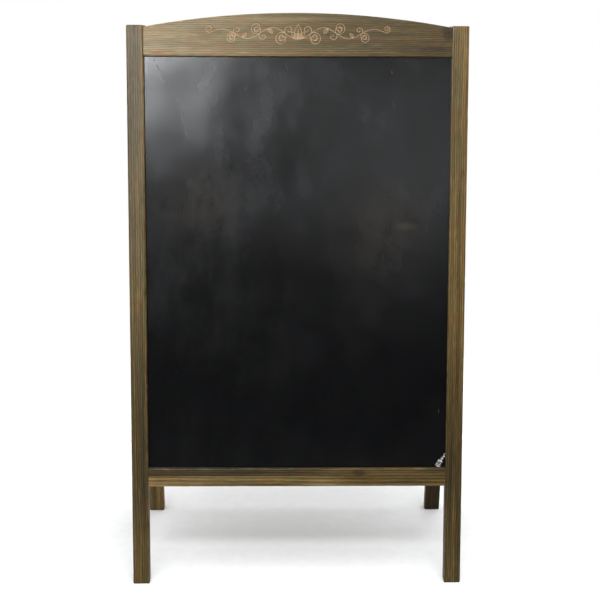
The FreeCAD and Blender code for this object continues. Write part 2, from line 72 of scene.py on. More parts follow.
class Shader:
    """A node material with one Principled shader, and short ways to add what feeds it."""

    def __init__(self, name):
        self.material = bpy.data.materials.new(name)
        self.material.use_nodes = True
        self.tree = self.material.node_tree
        self.principled = self.tree.nodes["Principled BSDF"]

    def add(self, kind, **settings):
        node = self.tree.nodes.new("ShaderNode" + kind)
        for name, value in settings.items():
            setattr(node, name, value)
        return node

    def feed(self, socket, value):
        """Link a node's output to a socket, or set the socket to a plain value."""
        if isinstance(value, bpy.types.NodeSocket):
            self.tree.links.new(value, socket)
        else:
            socket.default_value = value

    def math(self, operation, *values, clamp=False):
        node = self.add("Math", operation=operation, use_clamp=clamp)
        for socket, value in zip(node.inputs, values):
            self.feed(socket, value)
        return node.outputs[0]

    def total(self, first, *others):
        for value in others:
            first = self.math("ADD", first, value)
        return first

    def swing(self, value, reach):
        """A value between 0 and 1, turned into one that swings by reach about 0."""
        return self.math("MULTIPLY_ADD", value, reach, -reach / 2)

    def distance(self, gap_x, gap_z):
        """The hypotenuse of two gaps."""
        square_x = self.math("POWER", gap_x, 2.0)
        square_z = self.math("POWER", gap_z, 2.0)
        return self.math("SQRT", self.math("ADD", square_x, square_z))

    def combine(self, x, y, z):
        node = self.add("CombineXYZ")
        for socket, value in zip(node.inputs, (x, y, z)):
            self.feed(socket, value)
        return node.outputs[0]

    def separate(self, vector):
        node = self.add("SeparateXYZ")
        self.feed(node.inputs[0], vector)
        return node.outputs

    def scaled(self, vector, scale, offset=(0, 0, 0)):
        node = self.add("Mapping")
        self.feed(node.inputs["Vector"], vector)
        node.inputs["Scale"].default_value = scale
        node.inputs["Location"].default_value = offset
        return node.outputs[0]

    def noise(self, vector, detail=3.0, roughness=0.55):
        node = self.add("TexNoise")
        self.feed(node.inputs["Vector"], vector)
        node.inputs["Scale"].default_value = 1.0
        node.inputs["Detail"].default_value = detail
        node.inputs["Roughness"].default_value = roughness
        return node.outputs["Fac"]

    def ramp(self, factor, stops, interpolation="LINEAR"):
        """A colour ramp; each stop is (position, grey level) or (position, (r, g, b))."""
        node = self.add("ValToRGB")
        self.feed(node.inputs["Fac"], factor)
        ramp = node.color_ramp
        ramp.interpolation = interpolation
        while len(ramp.elements) < len(stops):
            ramp.elements.new(0.5)
        for element, (position, value) in zip(ramp.elements, stops):
            element.position = position
            colour = value if isinstance(value, tuple) else (value, value, value)
            element.color = (*colour, 1)
        return node.outputs["Color"]

    def span(self, value, low, high, clamped=True):
        """0 at low, 1 at high, straight between."""
        node = self.add("MapRange", clamp=clamped)
        self.feed(node.inputs["Value"], value)
        node.inputs["From Min"].default_value = low
        node.inputs["From Max"].default_value = high
        return node.outputs["Result"]

    def step(self, value, low, high):
        """0 below low, 1 above high, smooth between; low may be the larger, to fall instead."""
        node = self.add("MapRange", interpolation_type="SMOOTHSTEP")
        self.feed(node.inputs["Value"], value)
        falls = low > high
        node.inputs["From Min"].default_value = min(low, high)
        node.inputs["From Max"].default_value = max(low, high)
        node.inputs["To Min"].default_value = 1 if falls else 0
        node.inputs["To Max"].default_value = 0 if falls else 1
        return node.outputs["Result"]

    def blend(self, factor, first, second, mode="MIX"):
        node = self.add("Mix", data_type="RGBA", blend_type=mode)
        self.feed(node.inputs["Factor"], factor)
        for socket, value in ((node.inputs["A"], first), (node.inputs["B"], second)):
            self.feed(socket, (*value, 1) if isinstance(value, tuple) else value)
        return node.outputs["Result"]

    def bump(self, height, distance, strength=1.0, under=None):
        node = self.add("Bump")
        self.feed(node.inputs["Height"], height)
        node.inputs["Distance"].default_value = distance
        node.inputs["Strength"].default_value = strength
        if under is not None:
            self.feed(node.inputs["Normal"], under)
        return node.outputs["Normal"]

    def finish(self, **sockets):
        for name, value in sockets.items():
            self.feed(self.principled.inputs[name.replace("_", " ")], value)
        return self.material

    def object_point(self):
        return self.add("TexCoord").outputs["Object"]

    def upright_point(self, side):
        """Where a point of a piece lies in its frame's upright coordinates."""
        back = FRAMES[side].inverted()
        node = self.add("Mapping")
        self.feed(node.inputs["Vector"], self.object_point())
        node.inputs["Rotation"].default_value = back.to_euler()
        node.inputs["Location"].default_value = back.to_translation()
        return node.outputs[0]


# ---- Boards ----------------------------------------------------------------------------------
# Each timber member is a stack of rounded sections, drawn in its frame's upright coordinates.

EDGE_RADIUS = 2 * MM
END_RADIUS = 2.4 * MM
EDGE_BAND = 3 * MM
RING_GAP = 6 * MM
ARC_STEPS = 4
FOOT_REACH = 40 * MM
RADIUS_SPREAD = 0.5          # how much rounder than EDGE_RADIUS a section can be
RADIUS_WAVES = (14, 9, 7)    # along the board, and with the place of its lowest corner in x and z
DENT_FREQUENCY = 55          # dents along the edges, per metre
DENT_THRESHOLD = 0.28
DENT_DEPTH = 2.4 * MM
SMALLEST_RADIUS = 0.4 * MM
SHARP_ANGLE = math.radians(35)


def section(low, high, radius, cuts):
    """A rounded rectangle's (across, depth) points; cuts are shares along its outer face."""
    corners = (
        (high[0] - radius, low[1] + radius, -90),
        (high[0] - radius, high[1] - radius, 0),
        (low[0] + radius, high[1] - radius, 90),
        (low[0] + radius, low[1] + radius, 180),
    )
    arcs = []
    for across, depth, start in corners:
        angles = [math.radians(start + 90 * step / ARC_STEPS) for step in range(ARC_STEPS + 1)]
        arcs.append([
            Vector((across + radius * math.cos(angle), depth + radius * math.sin(angle)))
            for angle in angles
        ])
    points = []
    for number, arc in enumerate(arcs):
        start = arc[-1]
        end = arcs[(number + 1) % 4][0]
        share = EDGE_BAND / (end - start).length
        points += arc
        for place in (0, *(cuts if number == 3 else ()), 1):
            points.append(start.lerp(end, share + (1 - 2 * share) * place))
    return points


def ring_places(low, high, rounded, fine_half, fine_gap):
    """(place, inset) of every section; rounded says whether the low and the high end are."""
    turns = [math.radians(90 * step / ARC_STEPS) for step in range(1, ARC_STEPS + 1)]
    rounding = [(END_RADIUS * math.sin(turn), END_RADIUS * (1 - math.cos(turn))) for turn in turns]
    rounding.append((END_RADIUS, 2 * END_RADIUS))
    first = low + (END_RADIUS if rounded[0] else 0)
    last = high - (END_RADIUS if rounded[1] else 0)
    places = []
    place = first
    while place < last - 0.5 * fine_gap:
        places.append((place, 0.0))
        place += fine_gap if abs(place) < fine_half else RING_GAP
    places.append((last, 0.0))
    if rounded[0]:
        places = [(first - rise, inset) for rise, inset in reversed(rounding)] + places
    if rounded[1]:
        places += [(last + rise, inset) for rise, inset in rounding]
    return places


def edge_share(point, section_low, section_high, end_gap):
    """1 on an edge of a board and 0 from EDGE_BAND away; end_gap is how far its end is."""
    gaps = [min(point[axis] - section_low[axis], section_high[axis] - point[axis]) for axis in (0, 1)]
    second_nearest = sorted((*gaps, end_gap))[1]
    return max(0, 1 - second_nearest / EDGE_BAND)


def dent(position, across, edge, section_low, section_high):
    """Push a point near an edge inwards, where the edge is dented."""
    unevenness = noise.noise(position * DENT_FREQUENCY)
    depth = edge * max(0, unevenness - DENT_THRESHOLD) * DENT_DEPTH
    middle_across = (section_low[0] + section_high[0]) / 2
    middle_depth = (section_low[1] + section_high[1]) / 2
    position[across] += math.copysign(depth, middle_across - position[across])
    position[1] += math.copysign(depth, middle_depth - position[1])


def closed_tube(name, points, loops):
    """A mesh through equal loops of points, with a face over the first and the last of them."""
    faces = [tuple(reversed(loops[0])), tuple(loops[-1])]
    for one, other in zip(loops, loops[1:]):
        for index in range(len(one)):
            after = (index + 1) % len(one)
            faces.append((one[index], one[after], other[after], other[index]))
    mesh = bpy.data.meshes.new(name)
    mesh.from_pydata(points, [], faces)
    return mesh


def board(node, side, along, rounded=(False, False), top=None, carve=None, cuts=(), fine_half=0.0):
    """A timber member in place of its CAD node.

    top(x) is an arched rail's height, and carve(x, z) how deep its outer face is cut.
    """
    low, high = upright_box(node, side)
    across = 2 if along == 0 else 0
    fine_gap = CARVING_GRID if carve else RING_GAP
    points, edges, ends, cut_depths, loops = [], [], [], [], []
    for place, inset in ring_places(low[along], high[along], rounded, fine_half, fine_gap):
        section_low = (low[across] + inset, low[1] + inset)
        section_high = ((top(place) if top else high[across]) - inset, high[1] - inset)
        along_wave, x_wave, z_wave = RADIUS_WAVES
        spread = abs(noise.noise((place * along_wave, low[0] * x_wave, low[2] * z_wave)))
        radius = EDGE_RADIUS * (1 + RADIUS_SPREAD * spread) - inset
        loop = section(section_low, section_high, max(radius, SMALLEST_RADIUS), cuts)
        loops.append(range(len(points), len(points) + len(loop)))
        end_gap = min(
            place - low[along] if rounded[0] else 1,
            high[along] - place if rounded[1] else 1,
        )
        for point in loop:
            edge = edge_share(point, section_low, section_high, end_gap)
            position = Vector((0, point[1], 0))
            position[along] = place
            position[across] = point[0]
            dent(position, across, edge, section_low, section_high)
            cut = 0.0
            if carve and edge == 0 and point[1] - low[1] < 0.1 * MM:
                cut = carve(position.x, position.z)
                position.y += cut * CARVING_DEPTH
            points.append(position)
            edges.append(edge)
            ends.append(1.0 if end_gap < 0.5 * MM else 0.0)
            cut_depths.append(cut)
    if along == 2 and rounded[0]:
        shear_foot(points, low)
    mesh = closed_tube(node + "_wood", points, loops)
    for name, values in (("edge", edges), ("end_grain", ends), ("carved", cut_depths)):
        mesh.attributes.new(name, "FLOAT", "POINT").data.foreach_set("value", values)
    return finished_piece(mesh, node, side)


def shear_foot(points, low):
    """Slope the foot so that it stands flat on the floor when its frame leans."""
    for point in points:
        height = point.z - low.z
        share = max(0, 1 - height / FOOT_REACH)
        point.z += (point.y - low.y - EDGE_RADIUS) * math.tan(LEAN) * share


def finished_piece(mesh, node, side):
    """Put a mesh drawn in upright coordinates in its place, riding with its frame."""
    mesh.transform(FRAMES[side])
    shape = bmesh.new()
    shape.from_mesh(mesh)
    bmesh.ops.recalc_face_normals(shape, faces=shape.faces)
    shape.to_mesh(mesh)
    shape.free()
    mesh.shade_smooth()
    mesh.set_sharp_from_angle(angle=SHARP_ANGLE)
    piece = bpy.data.objects.new(node + "_wood", mesh)
    bpy.context.scene.collection.objects.link(piece)
    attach(piece, BODIES[side])
    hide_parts(node)
    return piece


# ---- The carved flourish ---------------------------------------------------------------------

CARVING_GRID = 0.6 * MM
CARVING_DEPTH = 0.8 * MM
CARVING_HALF = 190 * MM
CARVING_MIDDLE = 41 * MM     # below the peak of the arch
CARVING_SHARES = [0.2 + 0.77 * step / 110 for step in range(111)]     # columns of the cut face
STROKE_HALF = 0.7 * MM
WAVE_LENGTH = 104 * MM
WAVE_RISE = 12 * MM
STEM_MARGIN = 12 * MM        # between the stem's end and the end of the carved part
LEAF_SETBACK = 17 * MM
# The curls that leave the stem at each crest: the way they set off, how far that is turned
# towards the curl, which way they turn, their radius in millimetres, and their rounds.
CURLS = [(0, 0.0, 1, 14, 1.7), (0, -0.25, -1, 10, 1.1), (math.pi, -0.2, -1, 9.5, 1.3)]
MIDDLE_LEAVES = [(0, 30), (0.75, 20), (-0.75, 20)]     # (turn from upright, length in millimetres)


def stem_height(x):
    """The stem's height at x, flattening towards its ends."""
    fade = 1 - 0.45 * (abs(x) / CARVING_HALF) ** 2
    return -WAVE_RISE * math.cos(2 * math.pi * x / WAVE_LENGTH) * fade


def stem_heading(x):
    """The stem's direction at x, as an angle."""
    step = 0.1 * MM
    return math.atan2(stem_height(x + step) - stem_height(x - step), 2 * step)


def spiral(start, heading, turn, radius, rounds):
    """A curl that leaves start at a heading, turning left (1) or right (-1) as it tightens."""
    side = heading + turn * math.pi / 2
    centre = start + radius * Vector((math.cos(side), math.sin(side)))
    points = []
    steps = int(60 * rounds)
    for step in range(steps + 1):
        share = step / steps
        angle = side + math.pi + turn * 2 * math.pi * rounds * share
        reach = radius * (1 - 0.8 * share ** 0.9)
        points.append(centre + reach * Vector((math.cos(angle), math.sin(angle))))
    return points


def leaf(start, heading, length):
    """The two sides and the vein of a slim leaf."""
    forward = Vector((math.cos(heading), math.sin(heading)))
    aside = Vector((-forward.y, forward.x))
    strokes = []
    for bulge, reach in ((0.24, 1), (0.0, 0.7), (-0.24, 1)):
        stroke = []
        for step in range(15):
            share = step / 14 * reach
            width = bulge * length * math.sin(math.pi * share) * (1.25 - 0.5 * share)
            stroke.append(start + forward * length * share + aside * width)
        strokes.append(stroke)
    return strokes


def flourish():
    """The strokes of a symmetrical vine, as lists of (x, height) points about its middle."""
    end = CARVING_HALF - STEM_MARGIN
    steps = 160
    places = [end * step / steps for step in range(steps + 1)]
    stem = [Vector((x, stem_height(x))) for x in places]
    half = [stem, spiral(stem[-1], stem_heading(end), 1, 8 * MM, 1.5)]
    for number in range(4):
        x = WAVE_LENGTH * (0.25 + 0.5 * number)
        if x > end - 10 * MM:
            break
        turn = -1 if number % 2 == 0 else 1
        size = (1 - 0.1 * number) * MM
        place = Vector((x, stem_height(x)))
        heading = stem_heading(x)
        for way, lean, hand, radius, rounds in CURLS:
            set_off = way + heading + lean * turn
            half.append(spiral(place, set_off, hand * turn, radius * size, rounds))
        back = Vector((x - LEAF_SETBACK, stem_height(x - LEAF_SETBACK)))
        half += leaf(back, heading - 1.7 * turn, 15 * size)
    strokes = half + [[Vector((-point.x, point.y)) for point in stroke] for stroke in half]
    base = Vector((0, stem_height(0)))
    for heading, length in MIDDLE_LEAVES:
        strokes += leaf(base, math.pi / 2 + heading, length * MM)
    return strokes


def carving(middle):
    """A function of (x, z) that is 1 at the bottom of a carved stroke and 0 outside it."""
    samples = []
    for stroke in flourish():
        for start, end in zip(stroke, stroke[1:]):
            steps = max(1, int((end - start).length / (0.4 * MM)))
            samples += [start.lerp(end, step / steps) for step in range(steps)]
    tree = kdtree.KDTree(len(samples))
    for number, sample in enumerate(samples):
        tree.insert((sample.x, 0, sample.y + middle), number)
    tree.balance()

    def depth(x, z):
        if abs(x) > CARVING_HALF:
            return 0.0
        gap = tree.find((x, 0, z))[2]
        return max(0.0, 1 - (gap / STROKE_HALF) ** 2)

    return depth


# ---- Pine --------------------------------------------------------------------------------------
# A board's tone, from 0 for dark to 1 for light, is the sum of several patterns. The shares say
# how much each of them adds; the scales are patterns per metre (across, depth, along the grain).

RING_SPACING = 3.2 * MM
RING_WANDER = 22 * MM
RING_SHARE = 0.3
RING_SHIFT = 0.13
RING_STOPS = [(0.0, 0.25), (0.1, 0.8), (0.45, 0.7), (0.8, 0.2), (0.93, 0.0), (1.0, 0.25)]
FIBRE_SCALE = (1500, 1500, 40)
FIBRE_SHARE = 0.9
STREAK_SCALE = (520, 400, 14)
STREAK_SHARE = 0.45
BAND_SCALE = (130, 90, 2.5)
# The lightness levels' middle and shift in the tone; the levels hold the staining together with
# painted shade and painted highlight.
STAIN_AND_LIGHT_MIDDLE = 0.5
STAIN_AND_LIGHT_SHIFT = 0.11
PATCH_WARP = 0.9
END_GRAIN_SHARE = 0.2
SPLIT_PLACE = 0.58           # where a two-tone rail's upper strip begins, as a share of its height
SPLIT_WAVER = 6 * MM
SPLIT_BLUR = 1.2 * MM
GOLDEN = (1.08, 0.86, 0.55)
MOTTLE_CASTS = [(0.34, (0.92, 1.0, 0.88)), (0.5, (1, 1, 1)), (0.68, (1.1, 0.92, 0.76))]
WORN_WOOD = (0.21, 0.165, 0.105)
WOOD_TONES = [
    (0.0, (0.010, 0.0060, 0.0012)),
    (0.25, (0.033, 0.0213, 0.0026)),
    (0.5, (0.092, 0.061, 0.016)),
    (0.75, (0.188, 0.137, 0.063)),
    (1.0, (0.36, 0.275, 0.15)),
]
RAW_TONES = [
    (0.0, (0.19, 0.115, 0.055)),
    (0.5, (0.40, 0.275, 0.16)),
    (1.0, (0.60, 0.46, 0.30)),
]


def oval_gap(shader, x, z, place, half, warp=0.0):
    """0 in the middle of an oval place and 1 at its outline; place and half in millimetres."""
    gap_x = shader.span(x, place[0] * MM, (place[0] + half[0]) * MM, clamped=False)
    gap_z = shader.span(z, place[1] * MM, (place[1] + half[1]) * MM, clamped=False)
    return shader.distance(gap_x, shader.math("ADD", gap_z, warp))


def growth_rings(shader, here, across, depth, length, pith, tilt):
    """Light in each ring's early wood and dark in its late wood."""
    wander = shader.noise(shader.scaled(here, (9, 9, 2.4)), detail=2)
    gap_across = shader.math("SUBTRACT", across, pith[0])
    gap_across = shader.math("SUBTRACT", gap_across, shader.math("MULTIPLY", length, tilt))
    gap_across = shader.math("ADD", gap_across, shader.swing(wander, RING_WANDER))
    gap_depth = shader.math("SUBTRACT", depth, pith[1])
    radius = shader.distance(gap_across, gap_depth)
    ring = shader.math("FRACT", shader.math("DIVIDE", radius, RING_SPACING))
    return shader.ramp(ring, RING_STOPS)


def stain_and_light_level(shader, share, levels):
    """A board's lightness along its length, smooth between its (share of the length, lightness)
    stops: partly its staining and partly painted shade and painted highlight.
    """
    stops = [(place, STAIN_AND_LIGHT_MIDDLE + lightness) for place, lightness in levels]
    return shader.ramp(share, stops, "B_SPLINE")


def two_tone(shader, z, low, high, band, upper, lower):
    """A rail's lightness levels where its lower strip took the staining differently, with a wavering
    border.
    """
    border = low.z + SPLIT_PLACE * (high.z - low.z)
    height = shader.math("SUBTRACT", z, border)
    height = shader.math("ADD", height, shader.swing(band, SPLIT_WAVER))
    return shader.blend(shader.step(height, SPLIT_BLUR, -SPLIT_BLUR), upper, lower)


def stained_colour(shader, here, tone, band, bands):
    """The colour of a tone, golden in places and faintly mottled green and red."""
    hue = shader.noise(shader.scaled(here, (70, 70, 7), offset=(3, 1, 2)), detail=3)
    golden_bands = shader.math("MULTIPLY", shader.step(band, 0.5, 0.75), bands)
    golden = shader.math("MAXIMUM", shader.step(hue, 0.48, 0.72), golden_bands)
    colour = shader.blend(golden, shader.ramp(tone, WOOD_TONES), GOLDEN, mode="MULTIPLY")
    mottle = shader.noise(shader.scaled(here, (75, 75, 30), offset=(8, 2, 6)), detail=4)
    return shader.blend(1.0, colour, shader.ramp(mottle, MOTTLE_CASTS), mode="MULTIPLY")


def worn_edges(shader, here, colour):
    """Stain rubbed thin along the edges, in places."""
    edge = shader.add("Attribute", attribute_name="edge").outputs["Fac"]
    spots = shader.scaled(here, (160, 160, 60), offset=(5, 7, 3))
    rub = shader.noise(spots, detail=4, roughness=0.7)
    worn = shader.math("MULTIPLY", shader.step(edge, 0.25, 0.95), shader.step(rub, 0.45, 0.65))
    return shader.blend(shader.math("MULTIPLY", worn, 0.55), colour, WORN_WOOD)


def pine(node, side, along, pith, tilt, seed, levels, bands=0.75, halves=None, patches=()):
    """Dark-stained pine whose grain runs along a board.

    pith is where the tree's middle lies, as (across, depth); tilt is how far it drifts per metre.
    levels are (share of the length, lightness) stops, partly the board's staining and partly
    painted shade and painted highlight, and bands says how far light and dark streaks part
    from them; halves are such stops for a rail whose lower and upper strips took the staining
    differently. patches are darker or lighter places, each (x, z, half length, half height,
    lightness), in millimetres from the pins' axis.
    """
    shader = Shader(node + "_pine")
    low, high = upright_box(node, side)
    x, y, z = shader.separate(shader.upright_point(side))[:3]
    across, length = (x, z) if along == 2 else (z, x)
    moved_across = shader.math("ADD", across, 0.31 * seed)
    moved_length = shader.math("ADD", length, 1.7 * seed)
    here = shader.combine(moved_across, y, moved_length)
    rings = growth_rings(shader, here, across, y, length, pith, tilt)
    fibre = shader.noise(shader.scaled(here, FIBRE_SCALE), detail=3, roughness=0.65)
    streak = shader.noise(shader.scaled(here, STREAK_SCALE), detail=3)
    band = shader.noise(shader.scaled(here, BAND_SCALE), detail=2)
    share = shader.span(length, low[along], high[along])
    # Lightness along the board: partly its staining, partly painted shade and painted highlight for
    # how the light fell along it.
    stain_and_light = stain_and_light_level(shader, share, levels)
    if halves:
        stain_and_light = two_tone(shader, z, low, high, band, stain_and_light, stain_and_light_level(shader, share, halves))
    tone = shader.total(
        shader.swing(fibre, FIBRE_SHARE),
        shader.swing(streak, STREAK_SHARE),
        shader.swing(band, bands),
        shader.math("MULTIPLY_ADD", rings, RING_SHARE, -RING_SHIFT),
        shader.math("SUBTRACT", stain_and_light, STAIN_AND_LIGHT_SHIFT),
    )
    warp = shader.swing(streak, PATCH_WARP)
    for place_x, place_z, half_x, half_z, lightness in patches:
        gap = oval_gap(shader, x, z, (place_x, place_z), (half_x, half_z), warp)
        inside = shader.step(gap, 1.3, 0.4)
        tone = shader.math("ADD", tone, shader.math("MULTIPLY", inside, lightness))
    ends = shader.add("Attribute", attribute_name="end_grain").outputs["Fac"]
    tone = shader.math("SUBTRACT", tone, shader.math("MULTIPLY", ends, END_GRAIN_SHARE))
    colour = stained_colour(shader, here, tone, band, bands)
    colour = worn_edges(shader, here, colour)
    carved = shader.add("Attribute", attribute_name="carved").outputs["Fac"]
    colour = shader.blend(shader.step(carved, 0.02, 0.3), colour, shader.ramp(tone, RAW_TONES))
    relief = shader.math("MULTIPLY", rings, 0.25)
    relief = shader.math("ADD", shader.math("MULTIPLY", fibre, 0.6), relief)
    return shader.finish(
        Base_Color=colour,
        Roughness=shader.math("MULTIPLY_ADD", fibre, -0.25, 0.58),
        Normal=shader.bump(relief, 0.25 * MM, strength=0.6),
        Specular_IOR_Level=0.14,
    )


# ---- Building the frames -----------------------------------------------------------------------

def arch(side):
    """The top rail's upper edge, as a height for each x."""
    node = side + "_top_rail"
    low, high = upright_box(node, side)
    back = FRAMES[side].inverted()
    points = [back @ vertex.co for vertex in frame["nodes"][node].data.vertices]
    end = max(point.z for point in points if abs(point.x) > high.x - MM)
    rise = high.z - end
    radius = (high.x ** 2 + rise ** 2) / (2 * rise)
    return lambda x: high.z - radius + math.sqrt(radius ** 2 - x ** 2)


def build_frame(side, looks):
    """One leaning frame's four timber members."""
    for hand in ("left", "right"):
        node = f"{side}_{hand}_stile"
        piece = board(node, side, along=2, rounded=(True, True))
        piece.data.materials.append(pine(node, side, 2, **looks[hand]))
    node = side + "_top_rail"
    peak = upright_box(node, side)[1].z
    cutting = {}
    if side == "front":
        cutting = {
            "carve": carving(peak - CARVING_MIDDLE),
            "cuts": CARVING_SHARES,
            "fine_half": CARVING_HALF,
        }
    piece = board(node, side, along=0, top=arch(side), **cutting)
    piece.data.materials.append(pine(node, side, 0, **looks["top"]))
    node = side + "_bottom_rail"
    piece = board(node, side, along=0)
    piece.data.materials.append(pine(node, side, 0, **looks["bottom"]))


# These levels are partly painted light. The stiles darken towards their feet and lighten towards
# their tops, and the bottom rail is dark, as painted shade and painted highlight of how the light
# falls down the boards. The top rail's lighter left end is partly a painted highlight of its sheen.
# The rest is the staining's own tone.
FRONT_LOOKS = {
    "left": {
        "pith": (-0.40, 0.05), "tilt": 0.004, "seed": 1,
        "levels": [
            (0, -0.06), (0.13, -0.13), (0.27, -0.2), (0.42, 0.0), (0.55, 0.08), (0.8, 0), (1, 0.12),
        ],
    },
    "right": {
        "pith": (0.42, 0.06), "tilt": -0.003, "seed": 2,
        "levels": [
            (0, -0.08), (0.14, -0.22), (0.27, -0.15), (0.42, -0.08), (0.6, 0.04), (0.75, -0.03),
            (1, 0.17),
        ],
    },
    "top": {
        "pith": (-0.13, 0.05), "tilt": 0.012, "seed": 3, "bands": 0.35,
        "levels": [(0, 0.38), (0.3, 0.23), (0.5, 0.06), (0.65, -0.04), (1, -0.07)],
        "patches": [
            (-15, 1, 150, 5, 0.15),
            (-188, -26, 32, 12, -0.09),
            (-80, -13, 30, 5, -0.1),
            (262, -61, 65, 8, -0.12),
            (308, -24, 14, 18, -0.2),
        ],
    },
    "bottom": {
        "pith": (-1.00, 0.05), "tilt": -0.01, "seed": 4,
        "levels": [
            (0, -0.25), (0.45, -0.28), (0.56, -0.18), (0.72, -0.06), (0.88, -0.06), (1, -0.14),
        ],
        "halves": [(0, 0.2), (0.3, 0.1), (0.6, 0.06), (0.72, -0.02), (1, -0.02)],
        "patches": [(131, -943, 14, 9, -0.18), (58, -966, 50, 7, 0.1)],
    },
}
# The right stile's levels darken its lower end as painted shade, for the shadow it stands in.
REAR_LOOKS = {
    "left": {
        "pith": (0.43, 0.05), "tilt": 0.004, "seed": 5,
        "levels": [(0, 0.18), (0.3, 0), (1, 0.05)],
    },
    "right": {
        "pith": (-0.39, 0.06), "tilt": -0.003, "seed": 6,
        "levels": [(0, -0.32), (0.3, -0.22), (1, 0.05)],
    },
    "top": {
        "pith": (-0.02, 0.04), "tilt": 0.02, "seed": 7,
        "levels": [(0, 0.05), (0.6, -0.05), (1, 0.08)],
    },
    "bottom": {
        "pith": (-0.93, 0.03), "tilt": -0.02, "seed": 8,
        "levels": [(0, -0.1), (0.5, 0.05), (1, -0.05)],
    },
}

build_frame("front", FRONT_LOOKS)
build_frame("rear", REAR_LOOKS)


# ---- Panels and metal --------------------------------------------------------------------------

def streak_mask(shader, x, z, start, end, width):
    """1 along the line from start to end on a panel, given in millimetres, and 0 beside it."""
    start = Vector(start) * MM
    run = Vector(end) * MM - start
    past_x = shader.math("SUBTRACT", x, start.x)
    past_z = shader.math("SUBTRACT", z, start.y)
    along = shader.math("MULTIPLY", past_x, run.x / run.length_squared)
    along = shader.math("ADD", along, shader.math("MULTIPLY", past_z, run.y / run.length_squared))
    along = shader.math("ADD", along, 0.0, clamp=True)
    gap_x = shader.math("SUBTRACT", past_x, shader.math("MULTIPLY", along, run.x))
    gap_z = shader.math("SUBTRACT", past_z, shader.math("MULTIPLY", along, run.y))
    gap = shader.distance(gap_x, gap_z)
    return shader.step(gap, width * MM, 0.2 * width * MM)


# Wear on the front panel, in millimetres from the pins' axis: (start, end, width) of each mark.
DULL_MARKS = [((-297, -78), (-235, -187), 1.5), ((-240, -190), (-226, -240), 1.2)]
PALE_MARKS = [
    ((-66, -196), (-58, -204), 1.6),
    ((-25, -86), (-21, -104), 1.2),
    ((110, -118), (114, -134), 1.2),
    ((30, -134), (31, -139), 2.0),
    ((192, -101), (193, -106), 2.4),
    ((196, -160), (199, -176), 1.2),
    ((299, -806), (300, -816), 1.3),
]
# Smudges of old chalk on the front panel: (x, z, half length, half height, share of the colour).
SMUDGES = [(-205, -370, 110, 100, 0.5), (172, -428, 135, 135, 0.42), (226, -421, 34, 13, 0.95)]
SMUDGE_COLOUR = (0.026, 0.0215, 0.016)
MARK_COLOUR = (0.045, 0.045, 0.047)
PAINT = (0.0010, 0.0011, 0.0014)
CHALK_HAZE = (0.0088, 0.0090, 0.0096)
SPECK_COLOUR = (0.05, 0.05, 0.05)
FIBREBOARD_STOPS = [(0.3, (0.10, 0.055, 0.026)), (0.7, (0.24, 0.15, 0.08))]
BACK_SKIN = 0.6 * MM


def chalky_paint(shader, point, z, low, wiped):
    """Black paint with a wiped chalk haze, thinner towards the bottom, and pale specks."""
    cloud = shader.noise(shader.scaled(point, (5, 1, 5)), detail=4, roughness=0.6)
    haze = shader.math("MULTIPLY", shader.step(cloud, 0.4, 0.62), shader.step(wiped, 0.35, 0.65))
    haze = shader.math("MULTIPLY", haze, shader.step(z, low.z + 0.15, low.z + 0.6))
    colour = shader.blend(haze, PAINT, CHALK_HAZE)
    speck = shader.noise(shader.scaled(point, (260, 260, 260), offset=(4, 4, 4)), detail=1)
    return shader.blend(shader.step(speck, 0.765, 0.8), colour, SPECK_COLOUR)


def smudged(shader, x, z, wiped, colour):
    """The paint with the smudges of old chalk on it."""
    for place_x, place_z, half_x, half_z, amount in SMUDGES:
        gap = oval_gap(shader, x, z, (place_x, place_z), (half_x, half_z))
        smudge = shader.math("MULTIPLY", shader.step(gap, 1.0, 0.1), shader.step(wiped, 0.3, 0.6))
        smudge = shader.math("MULTIPLY", smudge, amount)
        colour = shader.blend(smudge, colour, SMUDGE_COLOUR)
    return colour


def scratched(shader, point, x, z, colour, roughness):
    """The paint's colour and roughness with the pale and the dull marks added."""
    broken = shader.noise(shader.scaled(point, (110, 110, 110), offset=(9, 2, 1)), detail=3)
    broken = shader.step(broken, 0.4, 0.62)
    for start, end, width in PALE_MARKS:
        mark = streak_mask(shader, x, z, start, end, width)
        mark = shader.math("MULTIPLY", shader.math("MULTIPLY", mark, broken), 0.7)
        colour = shader.blend(mark, colour, MARK_COLOUR)
    for start, end, width in DULL_MARKS:
        mark = streak_mask(shader, x, z, start, end, width)
        mark = shader.math("MULTIPLY", shader.math("MULTIPLY", mark, broken), 0.3)
        roughness = shader.math("ADD", roughness, mark)
    return colour, roughness


